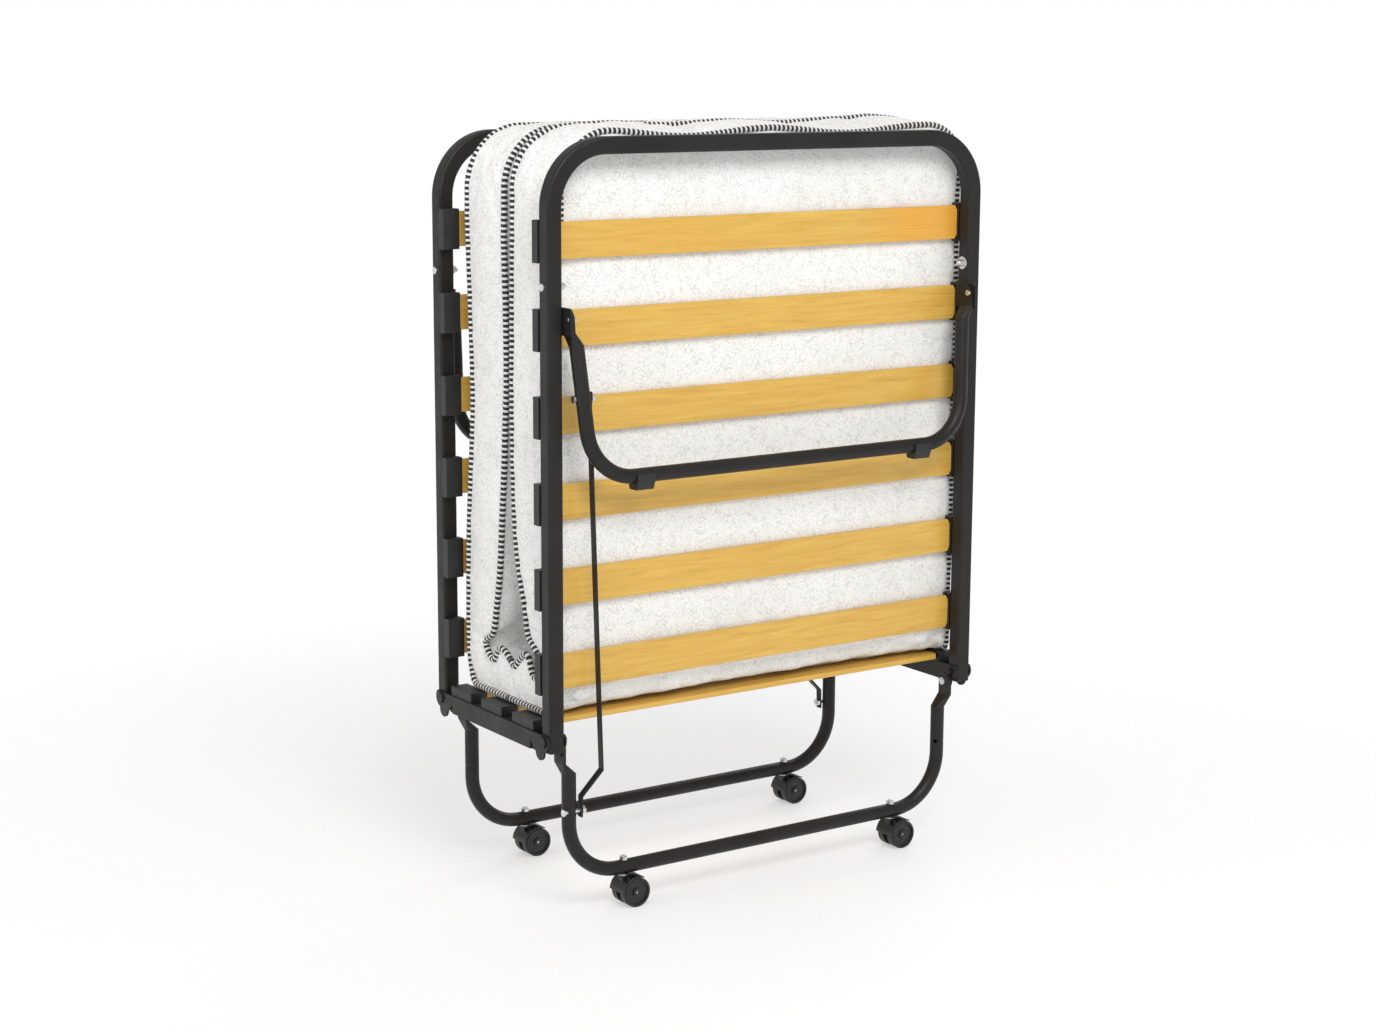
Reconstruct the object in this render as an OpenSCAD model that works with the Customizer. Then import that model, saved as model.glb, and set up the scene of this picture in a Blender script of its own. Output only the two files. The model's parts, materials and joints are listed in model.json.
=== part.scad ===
/* [Frame] */
// Outer width of the bed frame, over the side rails
bed_w = 800; // [760:10:900]
// Height of the folded frame, from the floor to the top of the end tubes
frame_top = 1158; // [1140:1:1180]
// Depth of the folded frame, outer face to outer face of the rails
fold_depth = 340; // [336:2:352]
// Width of the square tube
rail = 25; // [24:0.5:26]
// Wall thickness of the square tube
rail_wall = 1.5; // [1.2:0.1:2]
// Outside radius of the bends of the end tubes
corner_r = 100; // [80:5:140]
// Height of the seam between a side rail and its end tube
seam_z = 928; // [925:1:936]

/* [Fold] */
// Height of the hinge between the centre section and a main frame
hinge_z = 281; // [276:1:286]
// Distance of that hinge from the middle of the bed
hinge_y = 155; // [154:0.5:156]
// Height of the hinge of a folded end leg
leg_hinge_z = 903; // [898:1:906]
// Distance of the leg hinge from the middle of the bed, folded
leg_hinge_y = 184; // [183:0.5:185]
// Height of the link rod's lower pivot
link_z = 166; // [164:1:170]

/* [Slats] */
// Width of a slat
slat_w = 53; // [48:1:54]
// Thickness of a slat
slat_t = 8; // [7:0.5:8.5]
// Distance from one slat to the next along a main frame
slat_pitch = 126.5; // [120:0.5:128]
// Height of the middle of the lowest slat of a folded frame
slat_z = 379; // [370:1:385]
// Distance from one slat to the next on the centre section
center_pitch = 93; // [88:1:94]

/* [Legs] */
// Outside diameter of the leg tube
leg_d = 22; // [20:0.5:23]
// Wall thickness of the leg tube
leg_wall = 1.5; // [1.2:0.1:2]
// Radius of the centre line of an end leg's bends
end_bend_r = 76; // [66:2:80]
// Radius of the centre line of a centre leg's bends
center_bend_r = 85; // [70:1:88]
// Outward lean of a folded end leg, in degrees
leg_lean = 5.5; // [5:0.1:6]
// Inward slant of an end leg's arms, in degrees
end_slant = 4.6; // [4:0.1:5]

/* [Casters] */
// Diameter of a caster wheel
wheel_d = 46; // [44:0.5:47]
// Distance of each caster from the middle of the leg
caster_x = 258; // [230:1:270]
// Height of the leg tube above the floor
tube_clearance = 51; // [50.5:0.5:54]

/* [Mattress] */
// Thickness of the foot half of the mattress
foot_pad = 100; // [90:1:102]
// Thickness of the head half of the mattress
head_pad = 112; // [90:1:114]
// Width of the mattress
pad_w = 742; // [700:2:746]
// Height of the top of the folded mattress
pad_top = 1170; // [1150:1:1176]

/* [Hidden] */
$fn = 48;

// Colours
frame_black = "#34312f";
cap_black = "#1c1c1d";
birch = "#e3b25c";
zinc = "#c9cbcc";
ticking = "#efece4";

// Square tube and where it runs
rail_r = 4;
rail_out = fold_depth / 2;
rail_in = rail_out - rail;
rail_y = rail_out - rail / 2;
rail_x = bed_w / 2 - rail / 2;
side_x = bed_w / 2;
inner_x = bed_w / 2 - rail;
bend_r = corner_r - rail / 2;
bend_slit = 0.05;
rail_nose = 16;

// Fixings
hinge_bolt_d = 8;
hinge_bore_d = 8.1;
bush_d = 13;
bush_inset = 0.5;
bolt_d = 6;
bolt_bore_d = 6.1;
link_open_bore_d = 9;
head_d = 11;
head_h = 3;
hinge_head_d = 18;
nut_d = 13;
nut_h = 5;
bolt_end = 2;
cap_nut_d = 11;
cap_nut_h = 6;
joint_washer_d = 20;
joint_washer_t = 1.5;
face_gap = 0.2;
weld = 0.1;

// Spigot that joins a side rail to its end tube
spigot_w = rail - 2 * rail_wall - 0.4;
spigot_root = 40;
spigot_tip = 45;
spigot_wall = 2;
joint_bolt_z = seam_z + 20;

// Slats and their caps
slat_end_r = 50;
slat_end_x = inner_x + 3;
slat_shoulder_x = slat_end_x - slat_end_r + sqrt(pow(slat_end_r, 2) - pow(slat_w / 2, 2));
cap_w = slat_w + 8;
cap_h = 15;
cap_tip_x = inner_x - 1;
cap_out_x = side_x + 1.5;
slat_lift = cap_h / 2;
center_top = hinge_z + hinge_y - rail_in;

// Centre rail: a box between the hinge plates
box_h = 28;
box_end = 130;
box_wall = 1.5;
plate_t = 3;
plate_gap = 0.5;
plate_out_x = side_x + plate_gap;
plate_in_x = inner_x - plate_gap;
web_corner = 118;
hinge_ear_r = 15;
bolt_ear_r = 12;
leg_bolt_y = 146;
leg_bolt_z = 264;

// Legs
leg_r = leg_d / 2;
flat_t = 5;
flat_w = 26;
flat_x = plate_in_x - plate_t - face_gap - flat_t / 2;
joggle_h = 18;
joggle_lap = 1;
joggle_sides = 30;
joggle_r = leg_r / cos(180 / joggle_sides) + 0.03;
film = 0.5;
center_leg_x = 354;
center_leg_y = 146;
center_tube_z = tube_clearance + leg_r;
center_flat_z = leg_bolt_z - 22;
end_leg_x = 361;
end_plate_t = 3.5;
end_flat_x = inner_x - end_plate_t - 0.3 - flat_t / 2;
end_offset = 8.5;
leg_ear_r = 9;
leg_plate_up = 7;
leg_plate_down = 24;
leg_plate_lap = 3;
rivet_d = 9;
rivet_h = 2.7;
rivet_gap = 0.3;
rivet_root = 0.8;
end_flat_drop = 20;
foot_drop = hinge_z - (leg_hinge_y - hinge_y);
foot_stand = 20;
leg_tube_drop = (foot_drop - foot_stand) / cos(leg_lean) - end_offset * tan(leg_lean);
foot_x = 259;
foot_len = 30;
foot_w = 27;
foot_h = 24;
sole_w = 18;
clip_gap = 0.1;

// Link rod: a parallelogram with the centre leg, the frame and the end leg
link_y = hinge_y - 3;
link_dy = hinge_y - link_y;
link_dz = hinge_z - link_z;
rod_y = leg_hinge_y - link_dy;
rod_z = leg_hinge_z - link_dz;
rod_len = norm([rod_y - link_y, rod_z - link_z]);
rod_angle = atan((rod_y - link_y) / (rod_z - link_z));
rod_w = 10;
rod_t = 3;
rod_x = 337.5;
rod_jog = 35;
rod_tab = 10;
rod_play = 0.5;
link_head_x = center_leg_x + leg_r;
end_head_x = end_leg_x - link_dz * tan(end_slant) + leg_r;
jog_low = 22;
jog_high = 58;
top_bend = rod_len - 14;

// Casters
stem_d = 6;
stem_bore_d = 6.1;
wheel_r = wheel_d / 2;
wheel_w = 14;
wheel_in = 5.5;
trail = 14;
fork_half = 5;
axle_d = 5;
axle_bore_d = 5.1;
hood_gap = 1;
hood_t = 2;
hood_from = 62;
hood_sweep = 115;
fork_disc_r = wheel_r - 6;
boss_r = 8;
hub_r = 7;
rim_w = 4;
dish = 3;
wheel_edge = 1.5;
stem_foot_z = 32;
washer_d = 16;
washer_t = 1.2;

// Mattress
pad_clear = 2;
pad_bottom = center_top + cap_h + pad_clear;
pad_out = rail_in - cap_h - 2 * pad_clear;
pad_fold_z = 347;
base_gap = 2;
base_inset = 8;
ridge_gap = 1;
ridge_h = 48;

// Square and round sections -------------------------------------------

module rounded_square(w, r) {
    square([w - 2 * r, w], center = true);
    square([w, w - 2 * r], center = true);
    for (sx = [-1, 1], sy = [-1, 1])
        translate([sx * (w / 2 - r), sy * (w / 2 - r)]) circle(r = r);
}

module square_section(w, wall, r) {
    difference() {
        rounded_square(w, r);
        rounded_square(w - 2 * wall, r - wall);
    }
}

module round_section() {
    difference() {
        circle(r = leg_r);
        circle(r = leg_r - leg_wall);
    }
}

// Cylinder along X from x0 to x1
module x_rod(d, x0, x1, y, z) {
    translate([x0, y, z]) rotate([0, 90, 0]) cylinder(d = d, h = x1 - x0);
}

// Bolt along X on the left side: round head outside, hexagon nut inside
module x_bolt(d, wide, head_x, nut_x, y, z) {
    x_rod(wide, head_x - head_h, head_x, y, z);
    x_stud(d, head_x, nut_x, y, z);
}

// Headless bolt along X, with a hexagon nut inside
module x_stud(d, start_x, nut_x, y, z) {
    x_rod(d, start_x, nut_x + nut_h + bolt_end, y, z);
    translate([nut_x, y, z]) rotate([0, 90, 0]) cylinder(d = nut_d, h = nut_h, $fn = 6);
}

module both_sides() {
    children();
    mirror([1, 0, 0]) children();
}

// The head side repeats the foot side, turned half round
module head_side() {
    rotate([0, 0, 180]) children();
}

// Centre section ------------------------------------------------------

module hinge_plate_outline() {
    translate([-hinge_y, hinge_z]) circle(r = hinge_ear_r);
    translate([-leg_bolt_y, leg_bolt_z]) circle(r = bolt_ear_r);
    polygon([
        [-hinge_y, center_top], [-web_corner, center_top],
        [-web_corner, center_top - box_h / 2], [-leg_bolt_y, leg_bolt_z - bolt_ear_r],
        [-hinge_y - hinge_ear_r, hinge_z]]);
}

// Plate at x with the hinge hole, and with one for the leg bolt if that is wider than 0
module hinge_plate(x, leg_hole) {
    translate([x, 0, 0]) rotate([90, 0, 90]) linear_extrude(plate_t) difference() {
        intersection() {
            hinge_plate_outline();
            translate([-bed_w, center_top - bed_w]) square(bed_w);
        }
        translate([-hinge_y, hinge_z]) circle(d = hinge_bolt_d);
        if (leg_hole > 0) translate([-leg_bolt_y, leg_bolt_z]) circle(d = leg_hole);
    }
}

module center_rail() {
    color(frame_black) {
        difference() {
            translate([-plate_out_x - weld, -box_end, center_top - box_h])
                cube([plate_out_x - plate_in_x + 2 * weld, 2 * box_end, box_h]);
            translate([-plate_out_x + box_wall, -box_end + box_wall, center_top - box_h + box_wall])
                cube([plate_out_x - plate_in_x - 2 * box_wall, 2 * (box_end - box_wall),
                      box_h - 2 * box_wall]);
        }
        for (turn = [0, 1]) mirror([0, turn, 0]) {
            hinge_plate(-plate_out_x - plate_t, 0);
            hinge_plate(-plate_in_x, bolt_d);
        }
        translate([-plate_out_x - plate_t, -web_corner - weld, center_top - box_h])
            cube([plate_t, 2 * (web_corner + weld), box_h]);
    }
}

// One arm of a leg, with its flattened, joggled end; the origin is on the
// tube's centre line at the height of the flat ends' holes
module leg_arm(arm_x, flat_at, flat_low, low_x, low_z, slant, slit) {
    high_z = -flat_low - joggle_h;
    high_x = arm_x + high_z * tan(slant);
    translate([low_x, 0, low_z]) rotate([0, slant, 0]) translate([0, 0, slit])
        linear_extrude((high_z - low_z) / cos(slant) - slit) round_section();
    hull() {
        translate([high_x, 0, high_z]) rotate([0, slant, 0]) translate([0, 0, -joggle_lap])
            cylinder(r = joggle_r, h = film, $fn = joggle_sides);
        translate([flat_at - flat_t / 2, -flat_w / 2, -flat_low]) cube([flat_t, flat_w, film]);
    }
    translate([flat_at - flat_t / 2, -flat_w / 2, -flat_low]) cube([flat_t, flat_w, flat_low]);
    x_rod(flat_w, flat_at - flat_t / 2, flat_at + flat_t / 2, 0, 0);
}

module u_leg(arm_x, flat_at, flat_low, drop, bend, slant, slit) {
    low_z = bend * (1 - sin(slant)) - drop;
    low_x = arm_x + low_z * tan(slant);
    turn_x = low_x - bend * cos(slant);
    both_sides() {
        leg_arm(arm_x, flat_at, flat_low, low_x, low_z, slant, slit);
        translate([turn_x, 0, bend - drop]) rotate([-90, 0, 0]) rotate([0, 0, slant])
            rotate_extrude(angle = 90 - slant) translate([bend, 0]) round_section();
        translate([0, 0, -drop]) rotate([0, 90, 0])
            linear_extrude(turn_x - slit) round_section();
    }
}

module center_leg() {
    color(frame_black) difference() {
        translate([0, -center_leg_y, leg_bolt_z])
            u_leg(center_leg_x, flat_x, leg_bolt_z - center_flat_z,
                  leg_bolt_z - center_tube_z, center_bend_r, 0, 0);
        both_sides() {
            x_rod(bolt_d, -bed_w / 2, -bed_w / 3, -leg_bolt_y, leg_bolt_z);
            x_rod(bolt_d, -bed_w / 2, -bed_w / 3, -link_y, link_z);
            translate([caster_x, -center_leg_y, 0])
                cylinder(d = stem_d, h = center_tube_z + leg_d);
        }
    }
}

module center_leg_bolts() {
    color(zinc) for (turn = [0, 180]) rotate([0, 0, turn]) both_sides()
        x_stud(bolt_d, -plate_in_x, -flat_x + flat_t / 2, -leg_bolt_y, leg_bolt_z);
}

module frame_hinge_bolts() {
    color(frame_black) for (turn = [0, 180]) rotate([0, 0, turn]) both_sides()
        x_bolt(hinge_bolt_d, hinge_head_d, -plate_out_x - plate_t, -plate_in_x + plate_t,
               -hinge_y, hinge_z);
}

module link_pivot_bolt() {
    x_bolt(bolt_d, head_d, -link_head_x, -rod_x + rod_t / 2 + face_gap, -link_y, link_z);
}

module link_pivot_bolts() {
    color(zinc) for (turn = [0, 180]) rotate([0, 0, turn]) link_pivot_bolt();
}

module caster_stem() {
    tube_top = center_tube_z + leg_r;
    translate([0, 0, stem_foot_z]) cylinder(d = stem_d, h = tube_top + nut_h + bolt_end - stem_foot_z);
    translate([0, 0, tube_clearance - washer_t]) cylinder(d = washer_d, h = washer_t);
    translate([0, 0, tube_top]) cylinder(d = nut_d, h = nut_h, $fn = 6);
}

module caster_stems() {
    color(zinc) for (sx = [-1, 1], sy = [-1, 1])
        translate([sx * caster_x, sy * center_leg_y, 0]) caster_stem();
}

// Slats and caps ------------------------------------------------------

// A slat along X with arched ends, lying in the XY plane about the origin
module slat_board() {
    color(birch) translate([0, 0, -slat_t / 2]) linear_extrude(slat_t) {
        square([2 * slat_shoulder_x, slat_w], center = true);
        for (sx = [-1, 1]) intersection() {
            translate([sx * (slat_end_x - slat_end_r), 0]) circle(r = slat_end_r);
            square([2 * slat_end_x, slat_w], center = true);
        }
    }
}

// A cap on a rail face at Z = 0, with a slot for the end of its slat
module slat_cap() {
    difference() {
        translate([-cap_out_x, -cap_w / 2, 0]) cube([cap_out_x - cap_tip_x, cap_w, cap_h]);
        translate([-slat_end_x - face_gap, -slat_w / 2 - face_gap, slat_lift - slat_t / 2 - face_gap])
            cube([slat_end_x, slat_w + 2 * face_gap, slat_t + 2 * face_gap]);
    }
}

module slat_caps(places) {
    color(cap_black) for (p = places) translate([0, p, 0]) both_sides() slat_cap();
}

// From a flat bed surface to the face of the folded foot frame
module foot_face() {
    translate([0, -rail_in, 0]) rotate([-90, 0, 0]) mirror([0, 1, 0]) children();
}

module center_face() {
    translate([0, 0, center_top]) children();
}

module center_slat(place) {
    center_face() translate([0, place * center_pitch, slat_lift]) slat_board();
}

module foot_slat(count) {
    foot_face() translate([0, slat_z + count * slat_pitch, slat_lift]) slat_board();
}

module frame_slat_caps() {
    foot_face() slat_caps([for (count = [0:5]) slat_z + count * slat_pitch]);
}

// Main frame, foot side -----------------------------------------------

module rail_body() {
    translate([-rail_x, -rail_y, hinge_z - rail_nose])
        linear_extrude(seam_z - hinge_z + rail_nose) square_section(rail, rail_wall, rail_r);
    x_rod(bush_d, -side_x + bush_inset, -inner_x - bush_inset, -hinge_y, hinge_z);
}

module leg_plate() {
    reach = leg_hinge_y + leg_ear_r;
    root = rail_in + leg_plate_lap;
    translate([-inner_x, 0, 0]) rotate([90, 0, 90]) linear_extrude(end_plate_t) {
        translate([-leg_hinge_y, leg_hinge_z + leg_plate_up]) circle(r = leg_ear_r);
        translate([-leg_hinge_y, leg_hinge_z - leg_plate_down])
            square([leg_hinge_y - root, leg_plate_down + leg_plate_up + leg_ear_r]);
        translate([-reach, leg_hinge_z - leg_plate_down])
            square([reach - root, leg_plate_down + leg_plate_up]);
    }
}

module side_rail() {
    color(frame_black) difference() {
        union() {
            rail_body();
            leg_plate();
            translate([-rail_x, -rail_y, seam_z - spigot_root])
                linear_extrude(spigot_root)
                    square_section(rail - 2 * (rail_wall - weld), spigot_wall, rail_r - rail_wall);
            translate([-rail_x, -rail_y, seam_z])
                linear_extrude(spigot_tip) square_section(spigot_w, spigot_wall, rail_r - rail_wall);
        }
        x_rod(hinge_bore_d, -bed_w, 0, -hinge_y, hinge_z);
        x_rod(bolt_d, -bed_w, 0, -leg_hinge_y, leg_hinge_z);
        x_rod(bolt_d, -bed_w, 0, -rail_y, joint_bolt_z);
    }
}

// The straight runs stop a hair short of the bends, so each run is a solid of its own
module end_tube() {
    color(frame_black) difference() {
        translate([0, -rail_y, 0]) both_sides() {
            translate([rail_x, 0, seam_z])
                linear_extrude(frame_top - corner_r - bend_slit - seam_z)
                    square_section(rail, rail_wall, rail_r);
            translate([side_x - corner_r, 0, frame_top - corner_r]) rotate([90, 0, 0])
                rotate_extrude(angle = 90)
                    translate([bend_r, 0]) square_section(rail, rail_wall, rail_r);
            translate([0, 0, frame_top - rail / 2]) rotate([0, 90, 0])
                linear_extrude(side_x - corner_r - bend_slit)
                    square_section(rail, rail_wall, rail_r);
        }
        x_rod(bolt_d, -bed_w, bed_w, -rail_y, joint_bolt_z);
    }
}

module joint_bolts() {
    color(zinc) both_sides() {
        x_rod(head_d, -side_x - head_h, -side_x, -rail_y, joint_bolt_z);
        x_rod(bolt_d, -side_x, -inner_x + joint_washer_t, -rail_y, joint_bolt_z);
        x_rod(joint_washer_d, -inner_x, -inner_x + joint_washer_t, -rail_y, joint_bolt_z);
        translate([-inner_x + joint_washer_t, -rail_y, joint_bolt_z]) rotate([0, 90, 0]) {
            cylinder(d = cap_nut_d, h = cap_nut_h, $fn = 6);
            translate([0, 0, cap_nut_h]) cap_dome();
        }
    }
}

// Dome of a cap nut
module cap_dome() {
    dome_r = cap_nut_d * cos(180 / 6) / 2;
    rotate_extrude() intersection() {
        circle(r = dome_r);
        square(dome_r);
    }
}

// End leg and link rod, foot side --------------------------------------

module leg_rivets() {
    rivet_x = -end_flat_x + flat_t / 2 + rivet_gap;
    color(zinc) both_sides() {
        x_rod(bolt_d, -inner_x - rivet_root, rivet_x + rivet_h / 2, -leg_hinge_y, leg_hinge_z);
        x_rod(rivet_d, rivet_x, rivet_x + rivet_h, -leg_hinge_y, leg_hinge_z);
    }
}

module end_leg() {
    color(frame_black) difference() {
        translate([0, -leg_hinge_y, leg_hinge_z]) rotate([-leg_lean, 0, 0])
            translate([0, end_offset, 0])
                u_leg(end_leg_x, end_flat_x, end_flat_drop, leg_tube_drop, end_bend_r, end_slant,
                      bend_slit);
        both_sides() {
            x_rod(bolt_bore_d, -bed_w / 2, -bed_w / 3, -leg_hinge_y, leg_hinge_z);
            x_rod(bolt_d, -bed_w / 2, -bed_w / 3, -rod_y, rod_z);
        }
    }
}

module leg_feet() {
    tube_y = -leg_hinge_y + end_offset * cos(leg_lean) - leg_tube_drop * sin(leg_lean);
    tube_z = leg_hinge_z - end_offset * sin(leg_lean) - leg_tube_drop * cos(leg_lean);
    foot_z = leg_hinge_z - foot_drop;
    color(cap_black) both_sides() difference() {
        translate([foot_x, tube_y, foot_z]) rotate([0, 90, 0]) rotate([0, 0, 90])
            translate([0, 0, -foot_len / 2]) linear_extrude(foot_len)
                polygon([
                    [-sole_w / 2, 0], [sole_w / 2, 0], [foot_w / 2, foot_h / 2], [foot_w / 2, foot_h],
                    [-foot_w / 2, foot_h], [-foot_w / 2, foot_h / 2]]);
        x_rod(leg_d + 2 * clip_gap, foot_x - foot_len, foot_x + foot_len, tube_y, tube_z);
    }
}

module link_bolt() {
    color(zinc) x_bolt(bolt_d, head_d, -end_head_x, -rod_x + rod_t / 2 + rod_play, -rod_y, rod_z);
}

// Side view of the rod: across the bed, and along the line of its pivots
module rod_path() {
    outer = -rod_x - rod_t / 2;
    inner = -rod_x + rod_t / 2;
    mitre = rod_t / 2 * tan(atan(rod_jog / (jog_high - jog_low)) / 2);
    polygon([
        [outer, -rod_tab], [outer, jog_low + mitre], [outer + rod_jog, jog_high + 2 * mitre],
        [outer, top_bend], [outer, rod_len + rod_tab], [inner, rod_len + rod_tab],
        [inner, top_bend], [inner + rod_jog, jog_high - mitre], [inner, jog_low - mitre],
        [inner, -rod_tab]]);
}

module link_rod() {
    color(frame_black) difference() {
        translate([0, -link_y, link_z]) rotate([rod_angle, 0, 0]) rotate([90, 0, 0])
            translate([0, 0, -rod_w / 2]) linear_extrude(rod_w) rod_path();
        x_rod(bolt_bore_d, -bed_w / 2, -bed_w / 4, -link_y, link_z);
        x_rod(link_open_bore_d, -bed_w / 2, -bed_w / 4, -rod_y, rod_z);
    }
}

// Casters; the origin is on the floor below the swivel axis -------------

module caster_fork() {
    color(cap_black) difference() {
        union() {
            translate([trail, fork_half, wheel_r]) rotate([90, 0, 0])
                cylinder(r = fork_disc_r, h = 2 * fork_half);
            translate([-fork_half, -fork_half, wheel_r])
                cube([trail + 2 * fork_half, 2 * fork_half, wheel_r + hood_gap + hood_t / 2]);
            translate([0, 0, wheel_d]) cylinder(r = boss_r, h = hood_gap + hood_t);
            translate([trail, 0, wheel_r]) rotate([90, 0, 0])
                translate([0, 0, -wheel_in - wheel_w]) hood();
        }
        translate([0, 0, wheel_r]) cylinder(d = stem_bore_d, h = wheel_d);
        translate([trail, -wheel_d, wheel_r]) rotate([-90, 0, 0]) cylinder(d = axle_d, h = 2 * wheel_d);
    }
}

// Hood over the wheels, round the axle
module hood() {
    hood_in = wheel_r + hood_gap;
    hood_w = 2 * (wheel_in + wheel_w);
    rotate([0, 0, hood_from]) rotate_extrude(angle = hood_sweep)
        translate([hood_in, 0]) square([hood_t, hood_w]);
}

module caster_wheel() {
    rotate([-90, 0, 0]) rotate_extrude() difference() {
        translate([axle_bore_d / 2, wheel_in]) square([wheel_r - axle_bore_d / 2, wheel_w]);
        translate([hub_r, wheel_in + wheel_w - dish]) square([wheel_r - rim_w - hub_r, wheel_w]);
        translate([wheel_r - wheel_edge, wheel_in + wheel_w - wheel_edge]) square(wheel_w);
    }
}

module caster_wheels() {
    color(cap_black) translate([trail, 0, wheel_r]) {
        caster_wheel();
        mirror([0, 1, 0]) caster_wheel();
    }
}

module caster_axle() {
    reach = wheel_in + wheel_w - dish + 1;
    color(zinc) translate([trail, -reach, wheel_r]) rotate([-90, 0, 0])
        cylinder(d = axle_d, h = 2 * reach);
}

module at_caster(sx, sy) {
    translate([sx * caster_x, sy * center_leg_y, 0]) children();
}

// Mattress ------------------------------------------------------------

module pad_half(y0, thick) {
    color(ticking) translate([-pad_w / 2, y0, pad_fold_z])
        cube([pad_w, thick, pad_top - pad_fold_z]);
}

module mattress_foot_half() {
    pad_half(-pad_out, foot_pad);
}

module mattress_head_half() {
    pad_half(pad_out - head_pad, head_pad);
}

module mattress_middle() {
    ridge_y0 = -pad_out + foot_pad + ridge_gap;
    ridge_y1 = pad_out - head_pad - ridge_gap;
    color(ticking) {
        translate([-pad_w / 2, -pad_out + base_inset, pad_bottom])
            cube([pad_w, 2 * (pad_out - base_inset), pad_fold_z - base_gap - pad_bottom]);
        translate([-pad_w / 2, ridge_y0, pad_fold_z - base_gap - weld])
            cube([pad_w, ridge_y1 - ridge_y0, ridge_h]);
    }
}

center_rail();  // center_rail_left
mirror([1, 0, 0]) center_rail();  // center_rail_right
center_leg();  // center_leg_foot
head_side() center_leg();  // center_leg_head
center_leg_bolts();
frame_hinge_bolts();
link_pivot_bolts();
caster_stems();
center_slat(-1);  // center_slat_foot
center_slat(0);  // center_slat_middle
center_slat(1);  // center_slat_head
center_face() slat_caps([for (place = [-1:1]) place * center_pitch]);  // center_slat_caps
mattress_middle();

side_rail();  // foot_rail_left
mirror([1, 0, 0]) side_rail();  // foot_rail_right
end_tube();  // foot_end_tube
joint_bolts();  // foot_joint_bolts
foot_slat(0);  // foot_slat_1
foot_slat(1);  // foot_slat_2
foot_slat(2);  // foot_slat_3
foot_slat(3);  // foot_slat_4
foot_slat(4);  // foot_slat_5
foot_slat(5);  // foot_slat_6
frame_slat_caps();  // foot_slat_caps
leg_rivets();  // foot_leg_rivets
mattress_foot_half();
end_leg();  // foot_leg
leg_feet();  // foot_leg_feet
link_bolt();  // foot_link_bolt
link_rod();  // foot_link_rod

head_side() mirror([1, 0, 0]) side_rail();  // head_rail_left
head_side() side_rail();  // head_rail_right
head_side() end_tube();  // head_end_tube
head_side() joint_bolts();  // head_joint_bolts
head_side() foot_slat(0);  // head_slat_1
head_side() foot_slat(1);  // head_slat_2
head_side() foot_slat(2);  // head_slat_3
head_side() foot_slat(3);  // head_slat_4
head_side() foot_slat(4);  // head_slat_5
head_side() foot_slat(5);  // head_slat_6
head_side() frame_slat_caps();  // head_slat_caps
head_side() leg_rivets();  // head_leg_rivets
mattress_head_half();
head_side() end_leg();  // head_leg
head_side() leg_feet();  // head_leg_feet
head_side() link_bolt();  // head_link_bolt
head_side() link_rod();  // head_link_rod

at_caster(-1, -1) caster_fork();  // caster_fork_foot_left
at_caster(-1, -1) caster_wheels();  // caster_wheels_foot_left
at_caster(-1, -1) caster_axle();  // caster_axle_foot_left
at_caster(1, -1) caster_fork();  // caster_fork_foot_right
at_caster(1, -1) caster_wheels();  // caster_wheels_foot_right
at_caster(1, -1) caster_axle();  // caster_axle_foot_right
at_caster(-1, 1) caster_fork();  // caster_fork_head_left
at_caster(-1, 1) caster_wheels();  // caster_wheels_head_left
at_caster(-1, 1) caster_axle();  // caster_axle_head_left
at_caster(1, 1) caster_fork();  // caster_fork_head_right
at_caster(1, 1) caster_wheels();  // caster_wheels_head_right
at_caster(1, 1) caster_axle();  // caster_axle_head_right
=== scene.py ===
"""Folding cot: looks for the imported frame. Lengths are in metres, angles in radians."""

import json
import math

import bmesh
import bpy
import numpy as np
from mathutils import Matrix, Vector, noise


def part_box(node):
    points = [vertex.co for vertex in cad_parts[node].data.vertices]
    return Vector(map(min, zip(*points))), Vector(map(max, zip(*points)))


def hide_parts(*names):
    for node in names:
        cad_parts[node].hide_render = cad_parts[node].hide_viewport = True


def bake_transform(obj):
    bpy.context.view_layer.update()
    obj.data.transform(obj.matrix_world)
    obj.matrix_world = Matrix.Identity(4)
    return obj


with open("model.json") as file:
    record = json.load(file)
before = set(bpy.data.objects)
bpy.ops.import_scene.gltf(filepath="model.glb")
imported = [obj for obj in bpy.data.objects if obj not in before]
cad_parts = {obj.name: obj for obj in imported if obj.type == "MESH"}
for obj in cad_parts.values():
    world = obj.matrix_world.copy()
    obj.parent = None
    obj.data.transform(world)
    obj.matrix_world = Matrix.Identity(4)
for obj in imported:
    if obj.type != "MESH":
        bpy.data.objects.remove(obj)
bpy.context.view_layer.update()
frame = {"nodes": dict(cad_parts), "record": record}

MM = 0.001
NODES = frame["nodes"]

# Mattress, in millimetres: widths, corners, piping and the gaps to what it lies on
PAD_LEFT = -371.0
PAD_RIGHT = 389.0
CORNER = 88.0
PIPE_R = 5.0
STRIPE = 8.2
SEAM_Y = -8.0
SWELL = 9.0
GRID = 9.0
FOLD_GRID = 4.5
RINGS_PER_MM = 0.5
PIPE_SIDES = 10
CLOTH_FRAMES = 20
FACE_GAP = 1.2
SLAT_GAP = 0.8
PIPE_GAP = 0.6

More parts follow.
